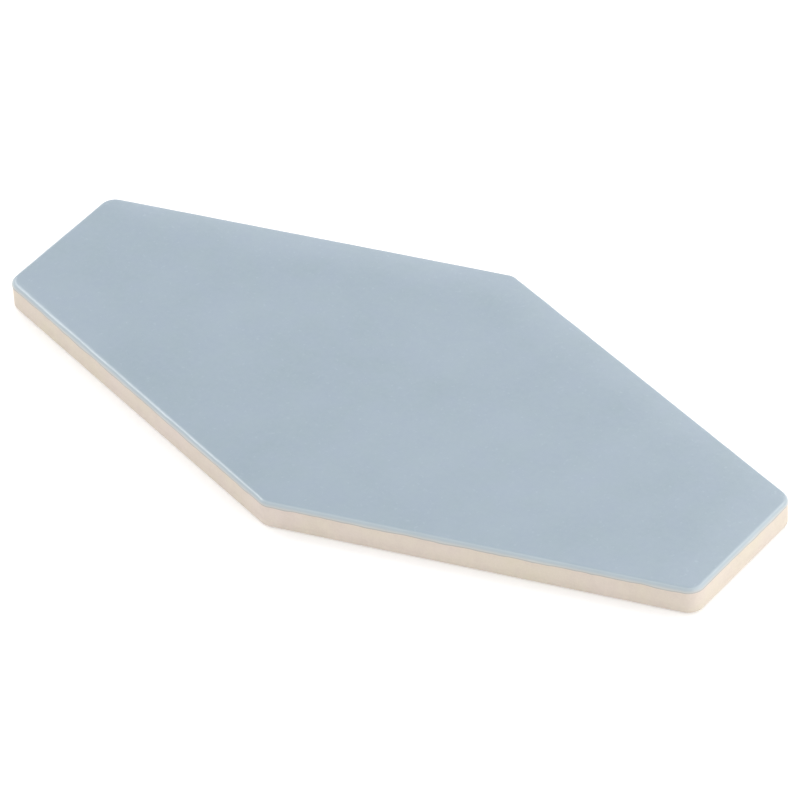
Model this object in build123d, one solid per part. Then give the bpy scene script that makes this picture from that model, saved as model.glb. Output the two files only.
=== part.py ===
from build123d import *
import math
import os

# Driving dimensions, in millimetres
tile_length = 200.0            # between the two straight ends
tile_width = 99.5              # across the two points, before they are rounded
end_width = 39.2               # of each straight end, before its corners are rounded
edge_height = 7.5              # glazed tile at its edge
end_corner_radius = 4.0        # in plan, at both ends of each straight end
point_radius = 4.0             # in plan, at the two points
arris_radius = 1.2             # where the glazed face rolls over into the sides
foot_radius = 0.9              # where the sides meet the back

crown_rise = 0.35              # of the middle of the face above its edge
crown_reach = 13.0             # of the falling border, measured in from the edge

glaze_on_face = 0.45           # thickness of the glaze
glaze_on_side = 0.15           # and of its lip on the sides, which is thinner
glaze_lap = 1.1                # how far the glaze runs down the sides

back_rim = 6.0                 # plain border of the back, left around its key
key_pocket = 10.0              # size of one square pocket of the key, at its mouth
key_rib = 2.2                  # between one pocket and the next
key_depth = 0.7
key_draft = 25.0               # of the pocket walls, in degrees
smallest_pocket = 0.3          # share of a whole pocket that is still worth pressing

# The border of the face is a parabola, which meets the flat middle without a crease
crown_steps = 4


# The plan: an elongated hexagon, moved in from the tile's own edge

def plan(inset, rounded=True):
    half_length = tile_length / 2
    half_width = tile_width / 2
    half_end = end_width / 2
    corners = [
        (-half_length, -half_end),
        (0, -half_width),
        (half_length, -half_end),
        (half_length, half_end),
        (0, half_width),
        (-half_length, half_end),
    ]
    shape = Sketch() + make_face(Polyline(*corners, close=True))
    if inset > 0:
        shape = Sketch() + offset(shape, -inset, kind=Kind.INTERSECTION)
    if not rounded:
        return shape
    points = shape.vertices().sort_by(Axis.X)[2:4]
    shape = fillet(points, point_radius)
    ends = shape.vertices().filter_by(lambda v: abs(v.X) > half_length / 2)
    return fillet(ends, end_corner_radius)


# The pressed form: upright sides, a crowned face and a rolled arris

def pressed_form(inset, height, roll):
    rings = []
    for step in range(crown_steps + 1):
        reached = step / crown_steps
        rise = crown_rise * (1 - (1 - reached) ** 2)
        ring = plan(inset + crown_reach * reached).face()
        rings.append(Pos(0, 0, height + rise) * ring)
    form = extrude(plan(inset), height) + loft(rings)
    arris = form.edges().filter_by_position(Axis.Z, height, height)
    return fillet(arris, roll)


# The key on the back: rows of shallow square pockets that the adhesive grips

def pocket_count(span):
    # An even count puts a crossing of two ribs at the middle of the back
    return 2 * math.ceil(span / 2 / (key_pocket + key_rib))


def key_pockets():
    pitch = key_pocket + key_rib
    field = plan(back_rim, rounded=False)
    span = field.bounding_box().size
    pockets = []
    for spot in GridLocations(pitch, pitch, pocket_count(span.X), pocket_count(span.Y)):
        mouth = field & (spot * Rectangle(key_pocket, key_pocket))
        if mouth is None or mouth.area < smallest_pocket * key_pocket ** 2:
            continue
        pockets.append(extrude(mouth, key_depth, taper=key_draft))
    return pockets


# The bisque: the fired clay body under the glaze

def bisque_body():
    arris = arris_radius - glaze_on_side
    body = pressed_form(glaze_on_side, edge_height - glaze_on_face, arris)
    foot = body.edges().filter_by_position(Axis.Z, 0, 0)
    body = fillet(foot, foot_radius)
    return body - key_pockets()


# The glaze: one coat over the face, rolled over the arris and ending in a thin lip

def glaze_coat(body):
    coat = pressed_form(0, edge_height, arris_radius)
    lip = edge_height - glaze_lap
    coat = split(coat, Plane.XY.offset(lip), keep=Keep.TOP)
    return coat - body


os.makedirs("parts", exist_ok=True)
bisque = bisque_body()
glaze = glaze_coat(bisque)
for node, solid in (("bisque_body", bisque), ("glaze_coat", glaze)):
    export_step(solid, f"parts/{node}.step")
    print(node, "volume", round(solid.volume, 1), "mm3, valid", solid.is_valid)
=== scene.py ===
import math

import bmesh
import bpy
from mathutils import Matrix, Vector, noise


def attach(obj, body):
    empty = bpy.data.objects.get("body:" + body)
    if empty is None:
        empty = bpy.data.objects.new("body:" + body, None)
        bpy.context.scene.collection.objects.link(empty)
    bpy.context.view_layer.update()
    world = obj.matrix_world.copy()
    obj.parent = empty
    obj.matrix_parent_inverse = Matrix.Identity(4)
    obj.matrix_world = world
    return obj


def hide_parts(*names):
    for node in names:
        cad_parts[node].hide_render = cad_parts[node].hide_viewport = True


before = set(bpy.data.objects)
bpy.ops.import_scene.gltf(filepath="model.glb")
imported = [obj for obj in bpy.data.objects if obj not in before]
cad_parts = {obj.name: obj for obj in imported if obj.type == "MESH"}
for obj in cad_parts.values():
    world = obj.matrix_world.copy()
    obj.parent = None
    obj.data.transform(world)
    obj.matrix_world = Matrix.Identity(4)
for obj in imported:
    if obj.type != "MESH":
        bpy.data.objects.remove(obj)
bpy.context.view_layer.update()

# Sizes of the tile in millimetres, as it is pressed and glazed
MM = 0.001
TILE_LENGTH = 200.0
TILE_WIDTH = 99.5
END_WIDTH = 39.2
EDGE_HEIGHT = 7.5
END_CORNER_RADIUS = 4.0
POINT_RADIUS = 4.0
ARRIS_RADIUS = 1.2
FOOT_RADIUS = 0.9
CROWN_RISE = 0.35
CROWN_REACH = 13.0
GLAZE_ON_FACE = 0.45
GLAZE_ON_SIDE = 0.15
GLAZE_LAP = 1.1

BACK_RIM = 6.0
KEY_POCKET = 10.0
KEY_RIB = 2.2
KEY_PITCH = KEY_POCKET + KEY_RIB
KEY_DEPTH = 0.7
KEY_DRAFT = math.radians(25)
SMALLEST_POCKET = 0.3          # share of a whole pocket

HALF_LENGTH = TILE_LENGTH / 2
HALF_WIDTH = TILE_WIDTH / 2
SIDE_SLOPE = math.atan2(HALF_WIDTH - END_WIDTH / 2, HALF_LENGTH)
ALONG = Vector((1, 0, 0))
ACROSS = Vector((0, 1, 0))
UP = Vector((0, 0, 1))

# How finely the meshes are made, with lengths in millimetres
POINT_STEPS = 8
END_CORNER_STEPS = 12
GLAZE_ARRIS_STEPS = 12
BISQUE_ARRIS_STEPS = 4
FOOT_STEPS = 4
GLAZE_GRID = 1.25
BISQUE_GRID = 5.0
PLACE_DIGITS = 4
SAME_PLACE = 1e-4
TINY_EDGE = 1e-3
SLIVER = 0.05
LEAST_RISE = 0.01              # of the normal of a face that looks up
SHARP_ANGLE = math.radians(40)


# Bevels and cuts leave a mesh in an order that changes from run to run, so it is sorted by place

def place(element):
    return sorted(tuple(v.co) for v in getattr(element, "verts", [element]))


def in_order(bm):
    for v in bm.verts:
        v.co = [round(c, PLACE_DIGITS) for c in v.co]
    for elements in (bm.verts, bm.edges, bm.faces):
        for index, element in enumerate(sorted(elements, key=place)):
            element.index = index
        elements.sort()
        elements.index_update()
    bm.normal_update()


# The plan: an elongated hexagon, moved in from the tile's own edge

def plan_corners(inset):
    length = HALF_LENGTH - inset
    width = HALF_WIDTH - inset / math.cos(SIDE_SLOPE)
    end = width - length * math.tan(SIDE_SLOPE)
    return [(-length, -end), (0, -width), (length, -end),
            (length, end), (0, width), (-length, end)]


def round_corners(bm, corners, radius, turn, segments):
    bmesh.ops.bevel(bm, geom=corners, offset=radius * math.tan(turn / 2), segments=segments,
                    profile=0.5, affect="VERTICES", material=-1)


def slab(inset, height):
    bm = bmesh.new()
    bm.faces.new([bm.verts.new((x, y, 0)) for x, y in plan_corners(inset)])
    points = [v for v in bm.verts if abs(v.co.x) < HALF_LENGTH / 2]
    round_corners(bm, points, POINT_RADIUS - inset, 2 * SIDE_SLOPE, segments=POINT_STEPS)
    ends = [v for v in bm.verts if abs(v.co.x) > HALF_LENGTH / 2]
    round_corners(bm, ends, END_CORNER_RADIUS - inset, math.pi / 2 - SIDE_SLOPE,
                  segments=END_CORNER_STEPS)
    grown = bmesh.ops.extrude_face_region(bm, geom=bm.faces[:])["geom"]
    top = [v for v in grown if isinstance(v, bmesh.types.BMVert)]
    bmesh.ops.translate(bm, verts=top, vec=UP * height)
    bmesh.ops.recalc_face_normals(bm, faces=bm.faces[:])
    in_order(bm)
    return bm


def roll_edge(bm, height, radius, segments):
    rim = [e for e in bm.edges if all(abs(v.co.z - height) < SAME_PLACE for v in e.verts)]
    bmesh.ops.bevel(bm, geom=rim, offset=radius, segments=segments, profile=0.5,
                    affect="EDGES", material=-1)
    in_order(bm)


def with_edges_and_points(faces):
    return faces + [e for f in faces for e in f.edges] + [v for f in faces for v in f.verts]


def cut(bm, geom, at, facing):
    return bmesh.ops.bisect_plane(bm, geom=list(dict.fromkeys(geom)), dist=SAME_PLACE,
                                  plane_co=at, plane_no=facing)["geom"]


def cut_grid(bm, pitch, faces):
    geom = with_edges_and_points(faces)
    for axis, half in ((ALONG, HALF_LENGTH), (ACROSS, HALF_WIDTH)):
        steps = int(half / pitch)
        for step in range(-steps, steps + 1):
            geom = cut(bm, geom, axis * step * pitch, axis)
    in_order(bm)


# The crown: the face falls towards every edge in a parabola, softened where two edges meet

CORNER_BLEND = 2.0


def edge_distance(x, y):
    across = (HALF_WIDTH - abs(y)) * math.cos(SIDE_SLOPE)
    along = abs(x) * math.sin(SIDE_SLOPE)
    distances = (HALF_LENGTH - abs(x), across - along, across + along)
    return -CORNER_BLEND * math.log(sum(math.exp(-d / CORNER_BLEND) for d in distances))


# 0 at the edge, 1 on the flat middle
def over_border(x, y):
    return min(max(edge_distance(x, y) / CROWN_REACH, 0), 1)


def crown(x, y):
    return CROWN_RISE * (1 - (1 - over_border(x, y)) ** 2)


# A finished piece: its mesh in metres, smooth, riding on the tile

def finish_piece(bm, name, material, node):
    in_order(bm)
    bmesh.ops.scale(bm, vec=Vector((MM, MM, MM)), verts=bm.verts[:])
    mesh = bpy.data.meshes.new(name)
    bm.to_mesh(mesh)
    bm.free()
    mesh.shade_smooth()
    mesh.set_sharp_from_angle(angle=SHARP_ANGLE)
    mesh.materials.append(material)
    piece = bpy.data.objects.new(name, mesh)
    bpy.context.scene.collection.objects.link(piece)
    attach(piece, "root")
    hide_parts(node)


# The glaze coat: a skin that pulls in over the arris and ends in an uneven lip, a hair proud of the
# clay. It bites a little into the clay, so that no gap shows between them.

GLAZE_BITE = 0.05
LIP_STRETCH = 1.1              # of the lap, so that the lip ends 0.1 mm lower on average
ARRIS_PULL = 0.08

# Each wave has a length in millimetres and a height: a share of the lap or of the pull for the
# first two, millimetres for the peel of the face
LIP_WAVES = ((23.0, 0.15), (6.0, 0.25), (2.4, 0.2))
PULL_WAVES = ((8.0, 1.2), (3.0, 1.2))
PEEL_WAVES = ((16.0, 0.02), (5.0, 0.004))
LIP_SEED = 3.7
PULL_SEED = 5.2
PEEL_SEED = 1.3


def ripple(x, y, waves, seed, lowered=0):
    return sum(height * (noise.noise(Vector((x / length, y / length, seed))) - lowered)
               for length, height in waves)


def glaze_coat(material):
    bm = slab(0, EDGE_HEIGHT)
    roll_edge(bm, EDGE_HEIGHT, ARRIS_RADIUS, segments=GLAZE_ARRIS_STEPS)
    lip = UP * (EDGE_HEIGHT - GLAZE_LAP)
    bmesh.ops.bisect_plane(bm, geom=bm.verts[:] + bm.edges[:] + bm.faces[:], dist=SAME_PLACE,
                           plane_co=lip, plane_no=UP, clear_inner=True)
    cut_grid(bm, GLAZE_GRID, bm.faces[:])
    bmesh.ops.remove_doubles(bm, verts=bm.verts[:], dist=SLIVER)
    bm.normal_update()

    # "run" says how far down the side the glaze has run: 0 on the face, 1 at the lip
    run = bm.verts.layers.float.new("run")
    for v in bm.verts:
        x, y, z = v.co
        drop = EDGE_HEIGHT - z
        v[run] = drop / GLAZE_LAP
        uneven = 1 + ripple(x, y, PULL_WAVES, PULL_SEED)
        pulled = ARRIS_PULL * uneven * math.sin(math.pi * drop / GLAZE_LAP) ** 2
        stretch = LIP_STRETCH + ripple(x, y, LIP_WAVES, LIP_SEED)
        peel = ripple(x, y, PEEL_WAVES, PEEL_SEED, lowered=1) * over_border(x, y)
        v.co -= v.normal * pulled
        v.co.z += drop * (1 - stretch) * v[run] ** 2 + crown(x, y) + peel
    bmesh.ops.recalc_face_normals(bm, faces=bm.faces[:])
    bmesh.ops.solidify(bm, geom=bm.faces[:], thickness=GLAZE_ON_FACE + GLAZE_BITE)
    bmesh.ops.dissolve_degenerate(bm, edges=bm.edges[:], dist=TINY_EDGE)
    bmesh.ops.recalc_face_normals(bm, faces=bm.faces[:])
    finish_piece(bm, "glaze", material, "glaze_coat")


# The bisque: the pressed clay slab, with a rolled foot and a keyed back

def in_pocket(face, sides):
    middle = face.calc_center_median()
    inside = all((middle.x - x0) * (y1 - y0) - (middle.y - y0) * (x1 - x0) < 0
                 for (x0, y0), (x1, y1) in sides)
    in_column = KEY_RIB / 2 < middle.x % KEY_PITCH < KEY_PITCH - KEY_RIB / 2
    in_row = KEY_RIB / 2 < middle.y % KEY_PITCH < KEY_PITCH - KEY_RIB / 2
    large = face.calc_area() > SMALLEST_POCKET * KEY_POCKET ** 2
    return inside and in_column and in_row and large


def press_key(bm):
    field = plan_corners(BACK_RIM)
    sides = list(zip(field, field[1:] + field[:1]))
    length, width = field[2][0], field[4][1]
    back = max((f for f in bm.faces if f.normal.z < 0), key=lambda f: f.calc_area())
    geom = with_edges_and_points([back])
    for axis, half in ((ALONG, length), (ACROSS, width)):
        count = math.ceil(half / KEY_PITCH)
        for step in range(-count, count):
            mouth = step * KEY_PITCH + KEY_RIB / 2
            geom = cut(bm, geom, axis * mouth, axis)
            geom = cut(bm, geom, axis * (mouth + KEY_POCKET), axis)
    for (x0, y0), (x1, y1) in sides:
        geom = cut(bm, geom, Vector((x0, y0, 0)), Vector((y1 - y0, x0 - x1, 0)))
    pockets = [f for f in geom if isinstance(f, bmesh.types.BMFace) and in_pocket(f, sides)]
    bmesh.ops.inset_individual(bm, faces=pockets, thickness=KEY_DEPTH * math.tan(KEY_DRAFT),
                               depth=-KEY_DEPTH, use_even_offset=True)


def bisque_body(material):
    top = EDGE_HEIGHT - GLAZE_ON_FACE
    bm = slab(GLAZE_ON_SIDE, top)
    roll_edge(bm, top, ARRIS_RADIUS - GLAZE_ON_SIDE, segments=BISQUE_ARRIS_STEPS)
    roll_edge(bm, 0, FOOT_RADIUS, segments=FOOT_STEPS)
    bmesh.ops.recalc_face_normals(bm, faces=bm.faces[:])
    press_key(bm)
    cut_grid(bm, BISQUE_GRID, [f for f in bm.faces if f.normal.z > LEAST_RISE])
    for v in bm.verts:
        if v.co.z > top / 2:
            v.co.z += crown(v.co.x, v.co.y)
    finish_piece(bm, "bisque", material, "bisque_body")


# Materials

def linear(value):
    return value / 12.92 if value <= 0.04045 else ((value + 0.055) / 1.055) ** 2.4


def colour(code):
    return tuple(linear(int(code[i:i + 2], 16) / 255) for i in (0, 2, 4)) + (1.0,)


WHITE = colour("FFFFFF")
OFF_WHITE = colour("F4F4F4")

GLAZE = colour("91A0AA")
GLAZE_CLOUD = colour("97A5B0")
GLAZE_TINT = colour("95A1B2")
GLAZE_STIPPLE = colour("9CA9B3")
GLAZE_SPECK = colour("ABB9C4")
GLAZE_ON_ARRIS = colour("B7C3CA")
GLAZE_THIN = colour("CBCBC7")
# Painted shade: the thin darker line along the lip, where the proud lip shades the side
LIP_PAINTED_SHADE = colour("A9A19D")

CLAY = colour("D9CFBE")
CLAY_CLOUD = colour("DBCEC5")
CLAY_STAIN = colour("D1C4B8")
CLAY_GRAIN = colour("E5D9CD")


def add_node(tree, kind, inputs=None, **settings):
    node = tree.nodes.new(kind)
    for name, value in settings.items():
        setattr(node, name, value)
    for socket, value in (inputs or {}).items():
        if isinstance(value, bpy.types.NodeSocket):
            tree.links.new(value, node.inputs[socket])
        else:
            node.inputs[socket].default_value = value
    return node


def new_material(name):
    material = bpy.data.materials.new(name)
    material.use_nodes = True
    tree = material.node_tree
    tree.nodes.clear()
    return material, tree


# A pattern of soft noise whose blotches are about as wide as the given millimetres
def pattern(tree, spot, width, detail, roughness):
    return add_node(tree, "ShaderNodeTexNoise", {
        "Vector": spot, "Scale": 1 / (width * MM), "Detail": detail,
        "Roughness": roughness}).outputs["Fac"]


# 0 where the value is low, 1 where it is high
def between(tree, value, low, high):
    return add_node(tree, "ShaderNodeMapRange", {
        "Value": value, "From Min": low, "From Max": high}).outputs["Result"]


def blend(tree, factor, under, over, strength=1.0):
    scaled = add_node(tree, "ShaderNodeMath", {0: factor, 1: strength}, operation="MULTIPLY")
    return add_node(tree, "ShaderNodeMix", {
        "Factor": scaled.outputs["Value"], "A": under, "B": over},
        data_type="RGBA").outputs["Result"]


# Relief gives the height of the bumps in millimetres
def surface(tree, body, roughness, ior, bumps, relief, strength):
    bump = add_node(tree, "ShaderNodeBump", {
        "Height": bumps, "Strength": strength, "Distance": relief * MM}).outputs["Normal"]
    shader = add_node(tree, "ShaderNodeBsdfPrincipled", {
        "Base Color": body, "Roughness": roughness, "IOR": ior, "Normal": bump}).outputs["BSDF"]
    add_node(tree, "ShaderNodeOutputMaterial", {"Surface": shader})


# Satin glaze, sprayed on and fired: opaque glass with fine tin-white specks, so the colour is nearly
# even, faintly clouded and speckled. It pales where it pulls thin over the arris and lets the clay
# show through further down the side. The thin darker line at the lip is painted shade, standing in
# for the shade under the proud lip.
def satin_glaze():
    material, tree = new_material("satin_glaze")
    spot = add_node(tree, "ShaderNodeTexCoord").outputs["Object"]
    clouds = pattern(tree, spot, width=18, detail=3, roughness=0.5)
    tint = pattern(tree, spot, width=7, detail=2, roughness=0.5)
    stipple = pattern(tree, spot, width=1.6, detail=4, roughness=0.7)
    specks = pattern(tree, spot, width=0.9, detail=1, roughness=0.5)
    body = blend(tree, between(tree, clouds, low=0.3, high=0.7), GLAZE, GLAZE_CLOUD)
    body = blend(tree, between(tree, tint, low=0.35, high=0.65), body, GLAZE_TINT, strength=0.35)
    body = blend(tree, between(tree, stipple, low=0.3, high=0.7), body, GLAZE_STIPPLE, strength=0.35)
    body = blend(tree, between(tree, specks, low=0.66, high=0.78), body, GLAZE_SPECK, strength=0.2)
    run = add_node(tree, "ShaderNodeAttribute", attribute_name="run").outputs["Fac"]
    body = blend(tree, between(tree, run, low=0.0, high=0.12), body, GLAZE_ON_ARRIS)
    body = blend(tree, between(tree, run, low=0.35, high=0.8), body, GLAZE_THIN, strength=0.8)
    # Painted shade: a thin darker line just above the lip, for the shade under the proud lip
    body = blend(tree, between(tree, run, low=0.78, high=0.92), body, LIP_PAINTED_SHADE, strength=0.6)
    peel = pattern(tree, spot, width=2.2, detail=2, roughness=0.5)
    surface(tree, body, roughness=0.2, ior=1.5, bumps=peel, relief=0.01, strength=0.4)
    return material


# Fired white-body clay, dry pressed: matt and faintly grainy, cream with a pink cast in clouds
def fired_clay():
    material, tree = new_material("fired_clay")
    spot = add_node(tree, "ShaderNodeTexCoord").outputs["Object"]
    clouds = pattern(tree, spot, width=14, detail=3, roughness=0.55)
    stains = pattern(tree, spot, width=3.5, detail=3, roughness=0.6)
    grain = pattern(tree, spot, width=0.5, detail=3, roughness=0.6)
    body = blend(tree, between(tree, clouds, low=0.35, high=0.65), CLAY, CLAY_CLOUD)
    body = blend(tree, between(tree, stains, low=0.45, high=0.75), body, CLAY_STAIN, strength=0.5)
    body = blend(tree, between(tree, grain, low=0.4, high=0.7), body, CLAY_GRAIN, strength=0.3)
    surface(tree, body, roughness=0.85, ior=1.45, bumps=grain, relief=0.05, strength=0.5)
    return material


# White acrylic sheet, matt and lit softly from below like a light table: it stays plain white and
# shows only a faint shadow at the tile's foot
def lit_white_acrylic():
    material, tree = new_material("lit_white_acrylic")
    shader = add_node(tree, "ShaderNodeBsdfPrincipled", {
        "Base Color": OFF_WHITE, "Roughness": 1.0, "Specular IOR Level": 0.0,
        "Emission Color": WHITE, "Emission Strength": 0.2}).outputs["BSDF"]
    add_node(tree, "ShaderNodeOutputMaterial", {"Surface": shader})
    return material


# The floor, which lies a hair under the tile

FLOOR_REACH = 6.0              # metres
FLOOR_GAP = 0.05               # millimetres


def pale_floor(material):
    bm = bmesh.new()
    bmesh.ops.create_grid(bm, x_segments=1, y_segments=1, size=FLOOR_REACH)
    bmesh.ops.translate(bm, verts=bm.verts[:], vec=(0, 0, -FLOOR_GAP * MM))
    mesh = bpy.data.meshes.new("floor")
    bm.to_mesh(mesh)
    bm.free()
    mesh.materials.append(material)
    floor = bpy.data.objects.new("floor", mesh)
    bpy.context.scene.collection.objects.link(floor)


# The light, with distances and sizes in metres and angles in degrees

SOFTBOX_DISTANCE = 4.0
WORLD_BRIGHTNESS = 0.54


# A softbox shows the tile a rectangle of even brightness; it faces the tile from the given direction
def softbox(name, azimuth, elevation, size, brightness):
    direction = Vector((
        math.sin(math.radians(azimuth)) * math.cos(math.radians(elevation)),
        -math.cos(math.radians(azimuth)) * math.cos(math.radians(elevation)),
        math.sin(math.radians(elevation))))
    light = bpy.data.lights.new(name, "AREA")
    light.shape = "RECTANGLE"
    light.size, light.size_y = size
    light.energy = brightness * math.pi * size[0] * size[1]
    lamp = bpy.data.objects.new(name, light)
    turn = direction.to_track_quat("Z", "Y").to_matrix().to_4x4()
    lamp.matrix_world = Matrix.Translation(direction * SOFTBOX_DISTANCE) @ turn
    bpy.context.scene.collection.objects.link(lamp)


def studio_light():
    world = bpy.data.worlds.new("studio")
    world.use_nodes = True
    background = world.node_tree.nodes["Background"]
    background.inputs["Color"].default_value = WHITE
    background.inputs["Strength"].default_value = WORLD_BRIGHTNESS
    bpy.context.scene.world = world
    softbox("right_softbox", azimuth=93, elevation=27, size=(4.06, 0.68), brightness=6.75)
    softbox("left_softbox", azimuth=-87.6, elevation=41.8, size=(4.7, 1.32), brightness=4.6)
    softbox("back_softbox", azimuth=165.5, elevation=40.2, size=(16.6, 1.27), brightness=1.44)
    softbox("top_softbox", azimuth=174, elevation=56.7, size=(4.15, 1.9), brightness=1.5)


# The camera, which looks from the photograph's own angle; the colours are shown as they are

CAMERA_AIM = Vector((-0.69, 4.05, 0.0)) * MM
CAMERA_AZIMUTH = 38.33
CAMERA_ELEVATION = 40.32
CAMERA_ROLL = -2.98
CAMERA_DISTANCE = 1.5172       # metres
CAMERA_LENS = 290.0            # millimetres, as the sensor
CAMERA_SENSOR = 36.0
CAMERA_SIGHT = 50.0            # metres


def camera():
    data = bpy.data.cameras.new("camera")
    data.sensor_fit = "HORIZONTAL"
    data.sensor_width = CAMERA_SENSOR
    data.lens = CAMERA_LENS
    data.clip_end = CAMERA_SIGHT
    turn = Matrix.Rotation(math.radians(CAMERA_AZIMUTH), 4, "Z")
    tilt = Matrix.Rotation(math.radians(90 - CAMERA_ELEVATION), 4, "X")
    roll = Matrix.Rotation(math.radians(CAMERA_ROLL), 4, "Z")
    back = Matrix.Translation((0, 0, CAMERA_DISTANCE))
    view = bpy.data.objects.new("camera", data)
    view.matrix_world = Matrix.Translation(CAMERA_AIM) @ turn @ tilt @ roll @ back
    scene = bpy.context.scene
    scene.collection.objects.link(view)
    scene.camera = view
    scene.view_settings.view_transform = "Standard"
    scene.view_settings.look = "None"


camera()
glaze_coat(satin_glaze())
bisque_body(fired_clay())
pale_floor(lit_white_acrylic())
studio_light()
